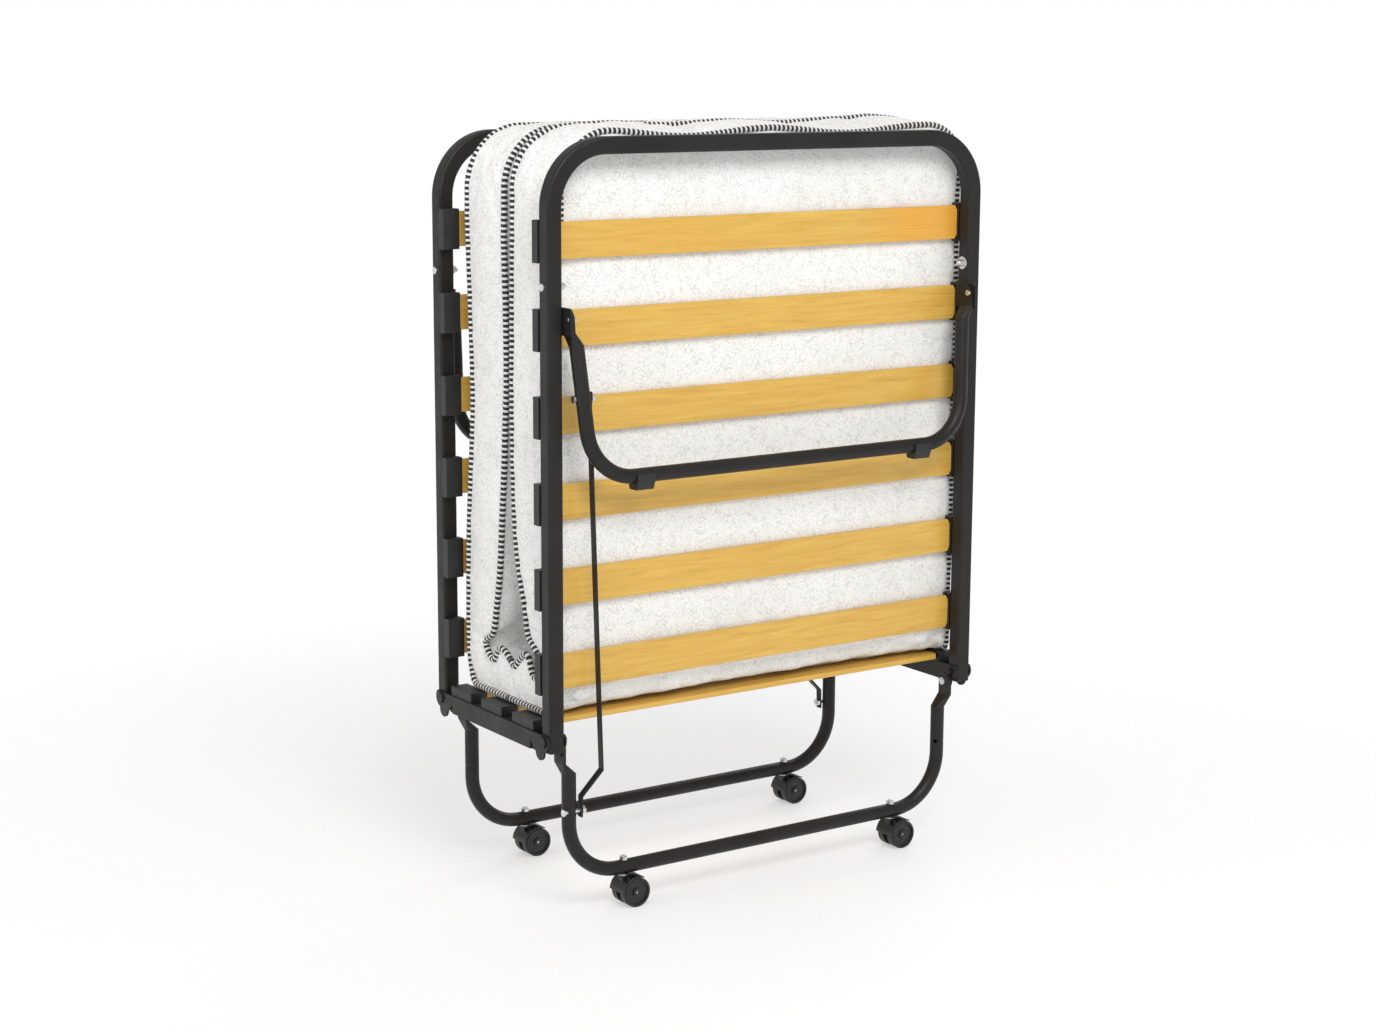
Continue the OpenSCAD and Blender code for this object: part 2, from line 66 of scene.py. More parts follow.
# Section of the folded mattress, from the top of the head half, round the
# fold, to the top of the foot half: (Y, Z) of the outer face, of the inner
# face at the ends of the bed, and of the inner face in its middle.
SECTION = [
    ((104, 1165), (0, 1165), (2, 1165)),
    ((108, 1060), (-1, 1060), (1, 1060)),
    ((107, 1000), (1, 1000), (0, 1000)),
    ((102, 900), (-3, 890), (-4, 890)),
    ((98, 800), (-3, 790), (-4, 790)),
    ((98, 735), (1, 740), (-2, 740)),
    ((105, 655), (6, 665), (3, 665)),
    ((114, 555), (15, 568), (12, 568)),
    ((117, 470), (22, 500), (21, 500)),
    ((118, 425), (32, 448), (32, 450)),
    ((118, 388), (43, 404), (44, 408)),
    ((116, 355), (66, 386), (50, 390)),
    ((109, 329), (58, 368), (44, 381)),
    ((93, 312), (41, 361), (34, 377)),
    ((68, 305), (24, 382), (22, 375)),
    ((32, 304), (7, 380), (7, 374)),
    ((SEAM_Y, 304), (SEAM_Y, 370), (SEAM_Y, 374)),
    ((-38, 304), (-22, 363), (-23, 374)),
    ((-64, 304), (-40, 381), (-38, 375)),
    ((-88, 304), (-59, 388), (-50, 377)),
    ((-107, 306), (-76, 358), (-62, 381)),
    ((-118, 315), (-99, 368), (-70, 388)),
    ((-122, 338), (-93, 390), (-73, 397)),
    ((-123, 372), (-79, 404), (-69, 407)),
    ((-122, 412), (-61, 420), (-60, 422)),
    ((-123, 450), (-52, 463), (-52, 463)),
    ((-124, 500), (-37, 510), (-38, 510)),
    ((-124, 570), (-26, 575), (-26, 575)),
    ((-124, 660), (-21, 670), (-20, 670)),
    ((-124, 760), (-20, 780), (-18, 780)),
    ((-124, 870), (-22, 880), (-20, 880)),
    ((-123, 970), (-24, 972), (-22, 972)),
    ((-122, 1060), (-26, 1055), (-24, 1055)),
    ((-120, 1164), (-27, 1169), (-26, 1169)),
]
SEAM_KNOT = 16
FOLD_KNOTS = (10, 24)


# ---------------------------------------------------------------- materials

class Graph:
    """A small builder for one material's node tree."""

    def __init__(self, name):
        self.material = bpy.data.materials.new(name)
        self.material.use_nodes = True
        self.tree = self.material.node_tree
        self.shader = next(n for n in self.tree.nodes if n.type == "BSDF_PRINCIPLED")
        self.place = self.add("ShaderNodeTexCoord").outputs["Object"]

    def add(self, kind, **settings):
        node = self.tree.nodes.new(kind)
        for key, value in settings.items():
            setattr(node, key, value)
        return node

    def link(self, source, target):
        self.tree.links.new(source, target)

    def feed(self, node, values):
        for key, value in values.items():
            if isinstance(value, bpy.types.NodeSocket):
                self.link(value, node.inputs[key])
            else:
                node.inputs[key].default_value = value
        return node

    def scaled(self, scale, turn=(0, 0, 0)):
        node = self.add("ShaderNodeMapping")
        return self.feed(node, {"Vector": self.place, "Scale": scale, "Rotation": turn}).outputs[0]

    def noise(self, vector, scale, detail=4.0, roughness=0.5, distortion=0.0):
        node = self.add("ShaderNodeTexNoise")
        values = {"Vector": vector, "Scale": scale, "Detail": detail,
                  "Roughness": roughness, "Distortion": distortion}
        return self.feed(node, values).outputs[0]

    def cells(self, vector, scale, feature="F1"):
        node = self.add("ShaderNodeTexVoronoi", feature=feature)
        return self.feed(node, {"Vector": vector, "Scale": scale}).outputs["Distance"]

    def ramp(self, factor, *stops):
        node = self.add("ShaderNodeValToRGB")
        elements = node.color_ramp.elements
        while len(elements) < len(stops):
            elements.new(0.5)
        for element, (position, colour) in zip(elements, stops):
            element.position = position
            element.color = (*colour, 1.0) if isinstance(colour, tuple) else (colour,) * 3 + (1.0,)
        self.link(factor, node.inputs[0])
        return node.outputs[0]

    def math(self, operation, a, b=0.0, clamp=False):
        node = self.add("ShaderNodeMath", operation=operation, use_clamp=clamp)
        return self.feed(node, {0: a, 1: b}).outputs[0]

    def mix(self, factor, a, b, blend="MIX"):
        node = self.add("ShaderNodeMix", data_type="RGBA", blend_type=blend)
        for socket, value in ((node.inputs[0], factor), (node.inputs[6], a), (node.inputs[7], b)):
            if isinstance(value, bpy.types.NodeSocket):
                self.link(value, socket)
            else:
                socket.default_value = value if isinstance(value, float) else (*value, 1.0)
        return node.outputs[2]

    def bump(self, height, strength, distance, normal=None):
        node = self.add("ShaderNodeBump")
        values = {"Height": height, "Strength": strength, "Distance": distance}
        if normal:
            values["Normal"] = normal
        return self.feed(node, values).outputs[0]

    def soft_edges(self, radius):
        node = self.add("ShaderNodeBevel", samples=6)
        return self.feed(node, {"Radius": radius}).outputs[0]

    def edge_mask(self, radius):
        """1 on an edge, 0 on a flat, from how far the bevelled normal turns away."""
        rounded = self.soft_edges(radius)
        flat = self.add("ShaderNodeNewGeometry").outputs["Normal"]
        dot = self.add("ShaderNodeVectorMath", operation="DOT_PRODUCT")
        self.link(rounded, dot.inputs[0])
        self.link(flat, dot.inputs[1])
        return self.math("SUBTRACT", 1.0, dot.outputs["Value"], clamp=True)

    def shade(self, **values):
        for key, value in values.items():
            socket = self.shader.inputs[key.replace("_", " ")]
            if isinstance(value, bpy.types.NodeSocket):
                self.link(value, socket)
            elif isinstance(value, tuple):
                socket.default_value = (*value, 1.0)
            else:
                socket.default_value = value
        return self.material


def powder_coat():
    """Charcoal powder coat: fine orange peel, faint speckle, edges lightened towards a brownish grey in
    patches.
    """
    g = Graph("powder_coat")
    cloud = g.noise(g.place, 9.0, 3.0)
    grain = g.noise(g.place, 1400.0, 2.0, 0.6)
    peel = g.cells(g.place, 620.0, "SMOOTH_F1")
    base = g.ramp(cloud, (0.3, (0.0105, 0.0097, 0.0092)), (0.7, (0.017, 0.0158, 0.0147)))
    speckle = g.ramp(grain, (0.60, 0.0), (0.78, 1.0))
    base = g.mix(g.math("MULTIPLY", speckle, 0.45), base, (0.085, 0.078, 0.070))
    # the edges are lightened in patches towards a brownish grey
    edge_band = g.ramp(g.edge_mask(0.0012), (0.05, 0.0), (0.35, 1.0))
    patchy = g.ramp(g.noise(g.place, 55.0, 5.0, 0.7), (0.48, 0.0), (0.66, 1.0))
    lighter_edges = g.math("MULTIPLY", edge_band, g.math("MULTIPLY", patchy, 0.55))
    base = g.mix(lighter_edges, base, (0.10, 0.094, 0.088))
    rough = g.ramp(g.noise(g.place, 30.0, 4.0), (0.3, 0.36), (0.7, 0.50))
    normal = g.bump(g.math("ADD", peel, g.math("MULTIPLY", grain, 0.4)), 0.35, 0.00035,
                    g.soft_edges(0.001))
    return g.shade(Base_Color=base, Roughness=rough, Normal=normal, Specular_IOR_Level=0.28)


def birch():
    """Lacquered birch plywood: long grain, pores, flame figure."""
    g = Graph("birch")
    wander = g.noise(g.scaled((1.6, 7.0, 7.0)), 2.2, 4.0, 0.55, 0.4)
    figure = g.noise(g.scaled((3.0, 42.0, 42.0)), 3.0, 6.0, 0.62, 0.8)
    fibre = g.noise(g.scaled((14.0, 700.0, 700.0)), 1.0, 3.0, 0.6)
    pores = g.noise(g.scaled((60.0, 1500.0, 1500.0)), 1.0, 1.0)
    colour = g.ramp(figure, (0.28, (0.56, 0.315, 0.046)), (0.48, (0.68, 0.41, 0.066)),
                    (0.72, (0.76, 0.49, 0.100)))
    colour = g.mix(g.ramp(wander, (0.35, 0.0), (0.75, 0.5)), colour, (0.68, 0.385, 0.062))
    colour = g.mix(g.ramp(fibre, (0.35, 0.16), (0.6, 0.0)), colour, (0.45, 0.23, 0.05))
    colour = g.mix(g.ramp(pores, (0.68, 0.0), (0.80, 0.35)), colour, (0.33, 0.16, 0.04))
    parts = g.add("ShaderNodeSeparateXYZ")
    g.link(g.place, parts.inputs[0])
    end = g.math("MULTIPLY", g.math("SUBTRACT", parts.outputs["X"], 0.19), 12.0, clamp=True)
    high = g.math("MULTIPLY", g.math("SUBTRACT", parts.outputs["Z"], 0.975), 60.0, clamp=True)
    near = g.math("MULTIPLY", g.math("SUBTRACT", -0.12, parts.outputs["Y"]), 80.0, clamp=True)
    heart = g.math("MULTIPLY", g.math("MULTIPLY", end, high), near)
    rings = g.add("ShaderNodeTexWave", wave_type="RINGS", rings_direction="SPHERICAL")
    g.feed(rings, {"Vector": g.scaled((5.0, 9.0, 26.0)), "Scale": 3.0, "Distortion": 5.0, "Detail": 3.0})
    orange = g.mix(rings.outputs["Fac"], (0.72, 0.30, 0.024), (0.79, 0.39, 0.045))
    colour = g.mix(g.math("MULTIPLY", heart, 0.75), colour, orange)
    rough = g.ramp(figure, (0.3, 0.40), (0.7, 0.30))
    normal = g.bump(fibre, 0.25, 0.0002, g.soft_edges(0.0014))
    return g.shade(Base_Color=colour, Roughness=rough, Normal=normal, Coat_Weight=0.25,
                   Coat_Roughness=0.22)


def zinc():
    """Bright zinc plate with a faint spangle and dull patches."""
    g = Graph("zinc")
    spangle = g.cells(g.place, 900.0)
    dull = g.noise(g.place, 260.0, 4.0)
    colour = g.mix(g.ramp(dull, (0.35, 0.0), (0.7, 1.0)), (0.80, 0.81, 0.82), (0.55, 0.555, 0.56))
    rough = g.ramp(spangle, (0.1, 0.20), (0.8, 0.38))
    normal = g.bump(dull, 0.15, 0.0002, g.soft_edges(0.0006))
    return g.shade(Base_Color=colour, Metallic=1.0, Roughness=rough, Normal=normal)


def moulded_plastic(name, dark, light, rough_low, rough_high, texture):
    """Black moulded plastic with a fine spark-eroded surface and scuffed edges."""
    g = Graph(name)
    cloud = g.noise(g.place, 40.0, 3.0)
    grit = g.noise(g.place, texture, 2.0, 0.7)
    colour = g.mix(g.ramp(cloud, (0.3, 0.0), (0.7, 1.0)), (dark,) * 3, (light,) * 3)
    scuff = g.math("MULTIPLY", g.ramp(g.edge_mask(0.0008), (0.05, 0.0), (0.4, 1.0)), 0.35)
    colour = g.mix(scuff, colour, (0.06, 0.06, 0.062))
    rough = g.ramp(grit, (0.3, rough_low), (0.7, rough_high))
    normal = g.bump(grit, 0.3, 0.0002, g.soft_edges(0.0009))
    return g.shade(Base_Color=colour, Roughness=rough, Normal=normal)


def ticking():
    """Off-white knitted ticking: fine stitches, grey flecks, a quilted waviness."""
    g = Graph("ticking")
    wobble = g.add("ShaderNodeVectorMath", operation="ADD")
    g.link(g.place, wobble.inputs[0])
    drift = g.add("ShaderNodeTexNoise", noise_dimensions="3D")
    g.feed(drift, {"Vector": g.place, "Scale": 28.0, "Detail": 2.0})
    shift = g.add("ShaderNodeVectorMath", operation="SCALE")
    g.link(drift.outputs["Color"], shift.inputs[0])
    shift.inputs["Scale"].default_value = 0.010
    g.link(shift.outputs[0], wobble.inputs[1])
    knit = g.cells(wobble.outputs[0], 290.0)
    loops = g.cells(wobble.outputs[0], 470.0)
    fluff = g.noise(g.place, 1500.0, 2.0, 0.6)
    cloud = g.noise(g.place, 6.0, 3.0)
    quilt = g.noise(g.place, 60.0, 3.0, 0.6)
    colour = g.ramp(cloud, (0.3, (0.83, 0.82, 0.79)), (0.7, (0.90, 0.895, 0.875)))
    fleck = g.math("MULTIPLY", g.ramp(knit, (0.42, 0.0), (0.66, 1.0)),
                   g.ramp(quilt, (0.36, 0.25), (0.60, 1.0)))
    colour = g.mix(g.math("MULTIPLY", fleck, 0.42), colour, (0.42, 0.41, 0.385))
    colour = g.mix(g.ramp(fluff, (0.35, 0.10), (0.6, 0.0)), colour, (0.60, 0.59, 0.56))
    stitches = g.math("ADD", g.math("MULTIPLY", knit, -0.8), g.math("MULTIPLY", loops, -0.4))
    puff = g.math("ADD", stitches, g.math("MULTIPLY", quilt, 0.9))
    normal = g.bump(puff, 0.55, 0.0011)
    return g.shade(Base_Color=colour, Roughness=0.92, Normal=normal, Sheen_Weight=0.25,
                   Sheen_Roughness=0.5)


def striped_piping():
    """Cord striped across in black and off-white yarn, from the arc length along it."""
    g = Graph("striped_piping")
    arc = g.add("ShaderNodeAttribute", attribute_name="stripe").outputs["Fac"]
    fuzz = g.math("MULTIPLY", g.math("SUBTRACT", g.noise(g.place, 700.0, 2.0), 0.5), 0.22)
    phase = g.math("FRACT", g.math("ADD", arc, fuzz))
    black = g.ramp(phase, (0.03, 0.0), (0.08, 1.0), (0.60, 1.0), (0.66, 0.0))
    yarn = g.noise(g.place, 1600.0, 2.0, 0.6)
    white = g.ramp(yarn, (0.3, (0.62, 0.61, 0.58)), (0.7, (0.86, 0.85, 0.82)))
    dark = g.ramp(yarn, (0.3, (0.008, 0.008, 0.009)), (0.7, (0.024, 0.023, 0.023)))
    height = g.math("PINGPONG", g.math("MULTIPLY", arc, 2.0), 0.5)
    normal = g.bump(g.math("ADD", height, g.math("MULTIPLY", yarn, 0.5)), 0.5, 0.0009)
    return g.shade(Base_Color=g.mix(black, white, dark), Roughness=0.85, Normal=normal,
                   Sheen_Weight=0.2)


def floor_paint_and_glow():
    """Pale studio floor with the faintest unevenness. It glows everywhere as painted light: at 0.45 near
    the cot, which lifts the floor's shadows while its lit colour is dimmed by as much, rising to full
    white further out so that it runs into the background without an edge."""
    g = Graph("floor_paint_and_glow")
    colour = g.ramp(g.noise(g.place, 1.5, 2.0), (0.3, (0.935, 0.935, 0.945)), (0.7, (0.95, 0.95, 0.955)))
    distance = g.add("ShaderNodeVectorMath", operation="LENGTH")
    g.link(g.place, distance.inputs[0])
    far = g.math("MULTIPLY", distance.outputs["Value"], 0.1)
    # painted light: the floor glows at 0.45 within about 0.7 m of the middle, lifting its shadows, and
    # at full white from about 2 m out
    floor_glow = g.ramp(far, (0.07, 0.45), (0.20, 1.0))
    return g.shade(Base_Color=g.mix(floor_glow, colour, (0.0, 0.0, 0.0)), Roughness=0.6,
                   Specular_IOR_Level=0.1, Emission_Color=(1.0, 1.0, 1.0), Emission_Strength=floor_glow)


def finish_cad(slots):
    """Gives every CAD node the material of its slot."""
    slot_of = {part["node"]: part["material_slot"] for part in frame["record"]["subparts"]}
    for name, obj in NODES.items():
        obj.data.materials.clear()
        obj.data.materials.append(slots[slot_of[name]])


# ----------------------------------------------------------------- mattress

def spline(points, at):
    """Catmull-Rom through evenly numbered points, at fractional positions."""
    points = np.asarray(points, float)
    ends = np.vstack([2 * points[0] - points[1], points, 2 * points[-1] - points[-2]])
    knot = np.clip(np.floor(at).astype(int), 0, len(points) - 2)
    t = (at - knot)[:, None]
    a, b, c, d = (ends[knot + i] for i in range(4))
    return 0.5 * (2 * b + (c - a) * t + (2 * a - 5 * b + 4 * c - d) * t ** 2
                  + (3 * b - 3 * c + d - a) * t ** 3)


def smooth(t):
    t = np.clip(t, 0.0, 1.0)
    return t * t * (3 - 2 * t)


def columns():
    """Positions along the section, closer together in the fold."""
    outer, edge, _ = (np.array(c, float) for c in zip(*SECTION))
    found = []
    for k in range(len(SECTION) - 1):
        step = FOLD_GRID if FOLD_KNOTS[0] <= k < FOLD_KNOTS[1] else GRID
        reach = max(np.linalg.norm(c[k + 1] - c[k]) for c in (outer, edge))
        count = max(2, math.ceil(reach / step))
        found += [k + i / count for i in range(count)]
    return np.array(found + [len(SECTION) - 1.0])


def round_corner(x, z, top, radius, side):
    """Rounds the corner of a flat sheet at its end, keeping the grid even."""
    middle = (PAD_LEFT + PAD_RIGHT) / 2
    half = (PAD_RIGHT - PAD_LEFT) / 2
    a = (side * (x - middle) - (half - radius)) / radius
    b = (z - (top - radius)) / radius
    inside = (a > 0) & (b > 0)
    a, b = np.where(inside, a, 0), np.where(inside, b, 0)
    new_x = middle + side * (half - radius + radius * a * np.sqrt(1 - b * b / 2))
    new_z = top - radius + radius * b * np.sqrt(1 - a * a / 2)
    return np.where(inside, new_x, x), np.where(inside, new_z, z)


def ripple(points, scale, seed):
    shift = Vector((seed, -seed, 0.5 * seed))
    return np.array([noise.noise(Vector(p) * scale + shift) for p in points])


def mattress_points(at, x, depth):
    """Places of the mattress's skin: at along the section, x across the bed, and
    depth from 0 on the inner face to 1 on the outer face."""
    outer, edge, middle = (spline(c, at) for c in zip(*SECTION))
    from_end = np.minimum(x - PAD_LEFT, PAD_RIGHT - x)
    inner = edge + (middle - edge) * smooth(from_end / 70.0)[:, None]
    place = inner + (outer - inner) * depth[:, None]
    y, z = place[:, 0], place[:, 1]
    foot = at > SEAM_KNOT
    top = np.where(foot, 1168.0, 1164.0)
    for side, radius in ((-1, CORNER), (1, 0.72 * CORNER)):
        x, z = round_corner(x, z, top, radius, side)
    high = smooth((z - 1040.0) / 110.0)
    wave = 5.0 * np.cos(2 * np.pi * (x - 20.0) / 298.0) - 5.0
    back = 7.0 * np.exp(-((x - 288.0) / 45.0) ** 2) + 2.0 * np.cos(x / 33.0)
    z = z + np.where(foot, high * (depth * wave + (1 - depth) * back), 0.0)
    x = x + np.where(foot, 5.0 * high * smooth((x - 250.0) / 130.0), 0.0)
    tucked = smooth((z - 930.0) / 120.0) * depth ** 2
    x = x + np.where(foot, 22.0 * tucked * smooth((-180.0 - x) / 190.0), 0.0)
    pinch = np.exp(-((z - 440.0) / 70.0) ** 2) * depth * foot
    x = x + 14.0 * pinch * smooth((-300.0 - x) / 70.0)
    return np.stack([x, y, z], 1)


def mattress_mesh():
    """One closed box of quads bent into the folded shape, and its four edge lines."""
    at = columns()
    across = np.linspace(PAD_LEFT, PAD_RIGHT, round((PAD_RIGHT - PAD_LEFT) / GRID) + 1)
    deep = np.linspace(0.0, 1.0, 13)
    index = {}
    places = []

    def vertex(i, j, k):
        key = (i, j, k)
        if key not in index:
            index[key] = len(places)
            places.append((at[i], across[j], deep[k]))
        return index[key]

    last = (len(at) - 1, len(across) - 1, len(deep) - 1)
    quads = []
    for fixed in range(3):
        u, v = [axis for axis in range(3) if axis != fixed]
        for side in (0, last[fixed]):
            for p in range(last[u]):
                for q in range(last[v]):
                    corner = []
                    for dp, dq in ((0, 0), (1, 0), (1, 1), (0, 1)):
                        key = [0, 0, 0]
                        key[fixed], key[u], key[v] = side, p + dp, q + dq
                        corner.append(vertex(*key))
                    quads.append(corner)
    coded = np.array(places)
    points = mattress_points(coded[:, 0], coded[:, 1], coded[:, 2])
    mesh = bpy.data.meshes.new("mattress")
    mesh.from_pydata(points * MM, [], quads)
    cleaned = bmesh.new()
    cleaned.from_mesh(mesh)
    bmesh.ops.recalc_face_normals(cleaned, faces=cleaned.faces)
    cleaned.to_mesh(mesh)
    cleaned.free()
    seam = int(np.argmin(np.abs(at - SEAM_KNOT)))
    pinned = [n for (i, j, k), n in index.items()
              if k in (0, last[2]) and (i in (0, last[0]) or j in (0, last[1]))]
    lines = {}
    for half, stop, step in (("head", 0, -1), ("foot", last[0], 1)):
        for face, k in (("inner", 0), ("outer", last[2])):
            route = [(i, 0) for i in range(seam, stop, step)]
            route += [(stop, j) for j in range(last[1])]
            route += [(i, last[1]) for i in range(stop, seam, -step)] + [(seam, last[1])]
            lines[half, face] = [index[i, j, k] for i, j in route]
    return mesh, pinned, lines, coded


def swell(obj, pinned):
    """Blows the cover up with a cloth run, held along its piped edges, and keeps
    every point within reach of where it started."""
    start = np.array([v.co for v in obj.data.vertices])
    group = obj.vertex_groups.new(name="piped")
    group.add(pinned, 1.0, "REPLACE")
    cloth = obj.modifiers.new("Cloth", "CLOTH")
    settings = cloth.settings
    settings.quality = 4
    settings.mass = 0.15
    settings.tension_stiffness = 12.0
    settings.compression_stiffness = 6.0
    settings.shear_stiffness = 3.0
    settings.bending_stiffness = 0.12
    settings.air_damping = 3.0
    settings.vertex_group_mass = "piped"
    settings.pin_stiffness = 1.0
    settings.use_pressure = True
    settings.uniform_pressure_force = 4.0
    settings.shrink_min = -0.022
    settings.effector_weights.gravity = 0.0
    cloth.collision_settings.use_collision = False
    cloth.point_cache.frame_start, cloth.point_cache.frame_end = 1, CLOTH_FRAMES
    scene = bpy.context.scene
    for number in range(1, CLOTH_FRAMES + 1):
        scene.frame_set(number)
    blown = obj.evaluated_get(bpy.context.evaluated_depsgraph_get())
    moved = np.array([v.co for v in blown.data.vertices])
    scene.frame_set(1)
    obj.modifiers.remove(cloth)
    shift = moved - start
    length = np.linalg.norm(shift, axis=1, keepdims=True)
    reach = SWELL * MM
    shift *= reach * np.tanh(length / reach) / np.maximum(length, 1e-9)
    return start + shift


def settle(points, coded):
    """Keeps the cover off the slats and caps that it lies against."""
    points = points.copy()
    foot = coded[:, 0] > SEAM_KNOT
    on_face = coded[:, 2] > 0.5
    slat = frame["nodes"]["foot_slat_1"]
    face = max(v.co.y for v in slat.data.vertices)
    limit = -face - FACE_GAP * MM
    y = points[:, 1]
    points[:, 1] = np.where(on_face & foot, np.maximum(y, -limit), y)
    points[:, 1] = np.where(on_face & ~foot, np.minimum(points[:, 1], limit), points[:, 1])
    slat_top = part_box("center_slat_middle")[1].z + SLAT_GAP * MM
    cap_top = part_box("center_slat_caps")[1].z + FACE_GAP * MM
    low = slat_top + (cap_top - slat_top) * smooth((np.abs(points[:, 0]) - 0.352) / 0.012)
    points[:, 2] = np.maximum(points[:, 2], low)
    return points


def wrinkle(points, normals):
    """Soft creases of a cover that has been folded and slept on."""
    long_way = np.stack([points[:, 0] * 26, points[:, 1] * 14, points[:, 2] * 7], 1)
    short_way = np.stack([points[:, 0] * 55, points[:, 1] * 60, points[:, 2] * 38], 1)
    depth = 0.0034 * ripple(long_way, 1.0, 3.1) + 0.0014 * ripple(short_way, 1.0, 8.4)
    return points + normals * depth[:, None]


def make_mattress(cloth_run):
    mesh, pinned, lines, coded = mattress_mesh()
    obj = bpy.data.objects.new("mattress", mesh)
    bpy.context.scene.collection.objects.link(obj)
    if cloth_run:
        points = swell(obj, pinned)
    else:
        points = np.array([v.co for v in mesh.vertices])
    mesh.vertices.foreach_set("co", points.ravel())
    mesh.update()
    normals = np.array([v.normal for v in mesh.vertices])
    free = np.ones(len(points))
    free[pinned] = 0.0
    points = settle(wrinkle(points, normals * free[:, None]), coded)
    mesh.vertices.foreach_set("co", points.ravel())
    mesh.update()
    routes = {key: points[line] for key, line in lines.items()}
    return obj, routes


def split_mattress(whole):
    """Two closed halves that meet on the plane of the fold."""
    subdivide = whole.modifiers.new("Subdivision", "SUBSURF")
    subdivide.levels = subdivide.render_levels = 1
    fine = bpy.data.meshes.new_from_object(
        whole.evaluated_get(bpy.context.evaluated_depsgraph_get()))
    halves = {}
    for half, side in (("foot", -1), ("head", 1)):
        cut = bmesh.new()
        cut.from_mesh(fine)
        geometry = cut.verts[:] + cut.edges[:] + cut.faces[:]
        bmesh.ops.bisect_plane(cut, geom=geometry, plane_co=(0, SEAM_Y * MM, 0),
                               plane_no=(0, -side, 0), clear_outer=True)
        open_edges = [e for e in cut.edges if e.is_boundary]
        bmesh.ops.holes_fill(cut, edges=open_edges, sides=0)
        for face in cut.faces:
            face.smooth = True
        mesh = bpy.data.meshes.new(f"mattress_{half}")
        cut.to_mesh(mesh)
        cut.free()
        halves[half] = bpy.data.objects.new(f"mattress_{half}", mesh)
        bpy.context.scene.collection.objects.link(halves[half])
    bpy.data.objects.remove(whole)
    return halves


def resample(points, spacing):
    """Evenly spaced points along a smoothed copy of a line, and their arc length."""
    at = np.linspace(0, len(points) - 1, 4 * len(points))
    dense = spline(points, at)
    length = np.concatenate([[0], np.cumsum(np.linalg.norm(np.diff(dense, axis=0), axis=1))])
    arc = np.linspace(0, length[-1], round(length[-1] / spacing) + 1)
    return np.stack([np.interp(arc, length, dense[:, i]) for i in range(3)], 1), arc


def sweep_piping(mesh_data, route):
    """Adds one striped cord along a route, with the stripe's phase on its corners."""
    points, arc = resample(route, MM / RINGS_PER_MM)
    for _ in range(3):
        points[1:-1] = (points[:-2] + 2 * points[1:-1] + points[2:]) / 4
    tangent = np.gradient(points, axis=0)
    tangent /= np.linalg.norm(tangent, axis=1, keepdims=True)
    vertices, faces, phases = mesh_data
    base = len(vertices)
    across = np.cross(tangent[0], (1.0, 0.2, 0.1))
    lay = arc / (STRIPE * MM)
    for n, (p, t) in enumerate(zip(points, tangent)):
        across = across - t * np.dot(across, t)
        across /= np.linalg.norm(across)
        up = np.cross(t, across)
        radius = PIPE_R * MM * (1 + 0.05 * math.cos(4 * math.pi * lay[n]))
        for m in range(PIPE_SIDES):
            turn = 2 * math.pi * m / PIPE_SIDES
            vertices.append(p + radius * (math.cos(turn) * across + math.sin(turn) * up))
        if n:
            for m in range(PIPE_SIDES):
                a, b = base + (n - 1) * PIPE_SIDES, base + n * PIPE_SIDES
                w = (m + 1) % PIPE_SIDES
                faces.append((a + m, a + w, b + w, b + m))
                phases.extend((lay[n - 1], lay[n - 1], lay[n], lay[n]))
    for ring in (0, len(points) - 1):
        faces.append(tuple(base + ring * PIPE_SIDES + m for m in range(PIPE_SIDES)))
        phases.extend([lay[ring]] * PIPE_SIDES)


def make_piping(half, routes):
    data = ([], [], [])
    for face in ("inner", "outer"):
        route = routes[half, face].copy()
        under = smooth((0.336 - route[:, 2]) / 0.024)
        route[:, 0] += 0.003 * under * np.sign(route[:, 0])
        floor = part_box("center_slat_caps")[1].z + (PIPE_R + PIPE_GAP) * MM
        route[:, 2] = np.maximum(route[:, 2], floor)
        sweep_piping(data, route)
    mesh = bpy.data.meshes.new(f"piping_{half}")
    mesh.from_pydata([tuple(v) for v in data[0]], [], data[1])
    stripe = mesh.attributes.new("stripe", "FLOAT", "CORNER")
    stripe.data.foreach_set("value", data[2])
    mesh.polygons.foreach_set("use_smooth", [True] * len(mesh.polygons))
    obj = bpy.data.objects.new(f"piping_{half}", mesh)
    bpy.context.scene.collection.objects.link(obj)
    return obj


def bend_with_frame(obj):
    """Bakes the piece's transform into its mesh and leaves its placement at the identity."""
    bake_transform(obj)


def dress_mattress(halves, routes, cover, cord):
    for half, obj in halves.items():
        obj.data.materials.append(cover)
        piping = make_piping(half, routes)
        piping.data.materials.append(cord)
        for piece in (obj, piping):
            bend_with_frame(piece)
        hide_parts(f"mattress_{half}_half")
    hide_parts("mattress_middle")


# ------------------------------------------------------------ stage, camera

def make_floor():
    mesh = bpy.data.meshes.new("floor")
    reach = 14.0
    mesh.from_pydata([(-reach, -reach, 0), (reach, -reach, 0), (reach, reach, 0), (-reach, reach, 0)],
                     [], [(0, 1, 2, 3)])
    obj = bpy.data.objects.new("floor", mesh)
    bpy.context.scene.collection.objects.link(obj)
    obj.data.materials.append(floor_paint_and_glow())


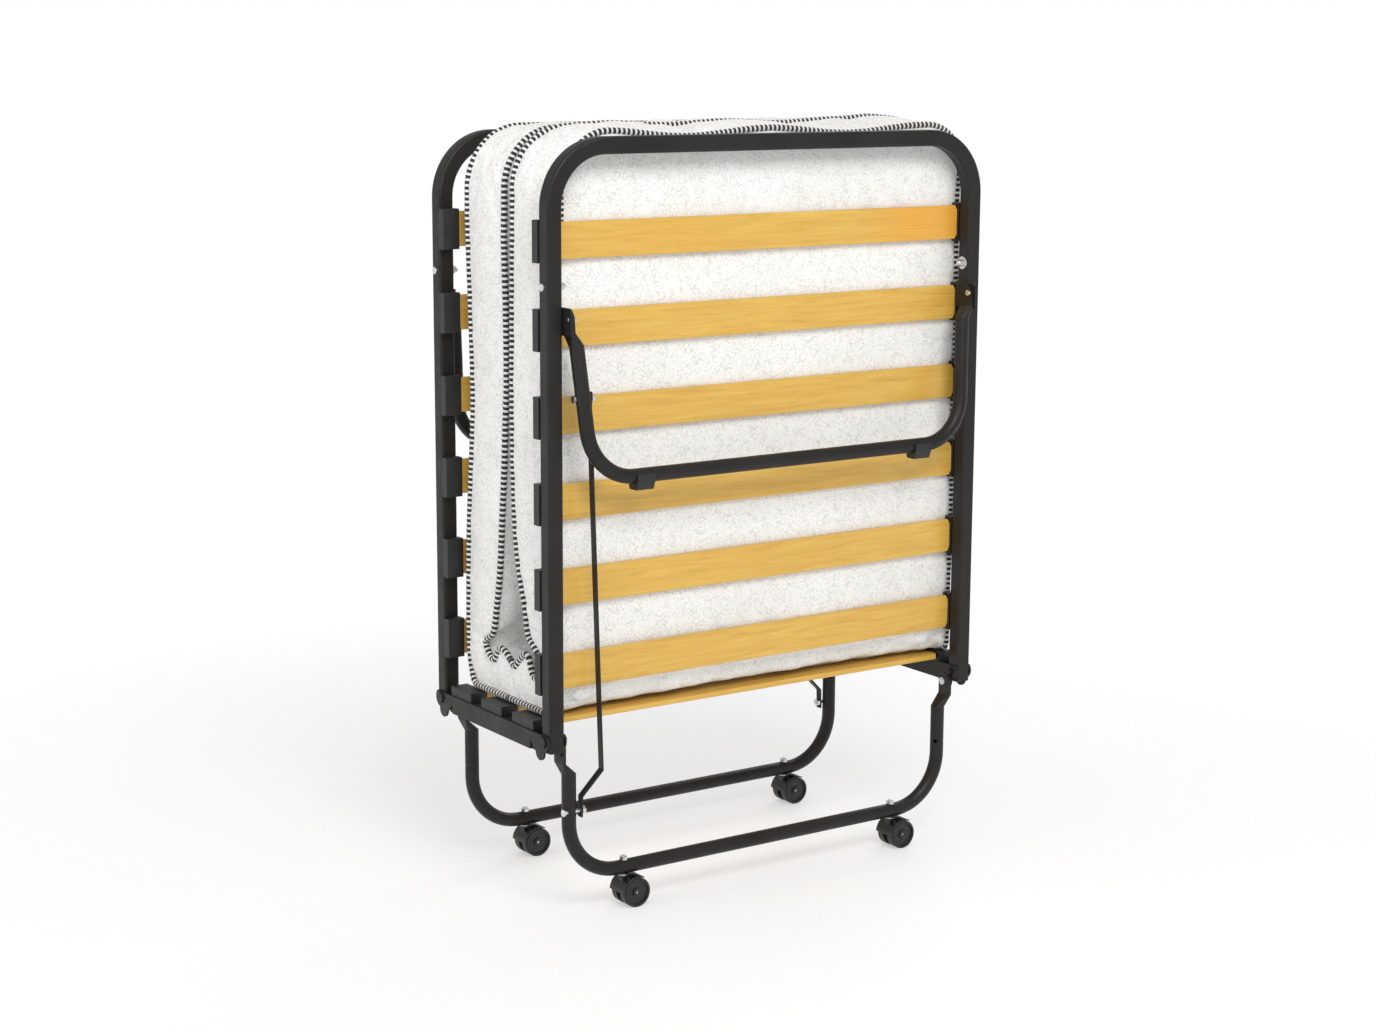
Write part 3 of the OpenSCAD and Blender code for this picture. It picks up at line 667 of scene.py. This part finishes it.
def make_world():
    world = bpy.data.worlds.new("studio")
    bpy.context.scene.world = world
    world.use_nodes = True
    tree = world.node_tree
    background = tree.nodes["Background"]
    background.inputs["Color"].default_value = (1.0, 1.0, 1.0, 1.0)
    seen = tree.nodes.new("ShaderNodeLightPath").outputs["Is Camera Ray"]
    strength = tree.nodes.new("ShaderNodeMapRange")
    strength.inputs["To Min"].default_value = 0.56
    strength.inputs["To Max"].default_value = 1.0
    tree.links.new(seen, strength.inputs["Value"])
    tree.links.new(strength.outputs["Result"], background.inputs["Strength"])


def area_light(name, place, target, size, power):
    data = bpy.data.lights.new(name, "AREA")
    data.shape = "RECTANGLE"
    data.size, data.size_y = size
    data.energy = power
    obj = bpy.data.objects.new(name, data)
    obj.location = place
    obj.rotation_euler = (Vector(target) - Vector(place)).to_track_quat("-Z", "Y").to_euler()
    bpy.context.scene.collection.objects.link(obj)


def make_lights():
    middle = (0.0, 0.0, 0.6)
    area_light("key", (-0.9, -3.0, 3.2), middle, (2.0, 1.6), 92.0)
    area_light("side", (-3.2, 0.2, 1.8), middle, (1.6, 2.0), 22.0)
    area_light("rim", (2.6, 1.6, 2.2), middle, (1.4, 1.4), 20.0)


def make_camera():
    data = bpy.data.cameras.new("camera")
    data.sensor_width = 36.0
    data.lens = 65.92
    data.clip_end = 60.0
    obj = bpy.data.objects.new("camera", data)
    yaw, pitch, roll = 0.598188, 0.186862, 0.004489
    obj.matrix_world = (Matrix.Translation((-2.2384, -3.2249, 1.2940))
                        @ Matrix.Rotation(-yaw, 4, "Z")
                        @ Matrix.Rotation(math.pi / 2 - pitch, 4, "X")
                        @ Matrix.Rotation(roll, 4, "Z"))
    bpy.context.scene.collection.objects.link(obj)
    bpy.context.scene.camera = obj


def main():
    bpy.context.scene.view_settings.view_transform = "Standard"
    make_camera()
    make_world()
    make_lights()
    make_floor()
    cover = ticking()
    finish_cad({
        "frame_paint": powder_coat(),
        "cap_plastic": moulded_plastic("cap_plastic", 0.008, 0.014, 0.42, 0.55, 900.0),
        "birch": birch(),
        "zinc": zinc(),
        "ticking": cover,
        "caster_plastic": moulded_plastic("caster_plastic", 0.006, 0.010, 0.25, 0.38, 1300.0),
        "wheel_plastic": moulded_plastic("wheel_plastic", 0.010, 0.018, 0.40, 0.55, 700.0),
    })
    whole, routes = make_mattress(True)
    dress_mattress(split_mattress(whole), routes, cover, striped_piping())


main()
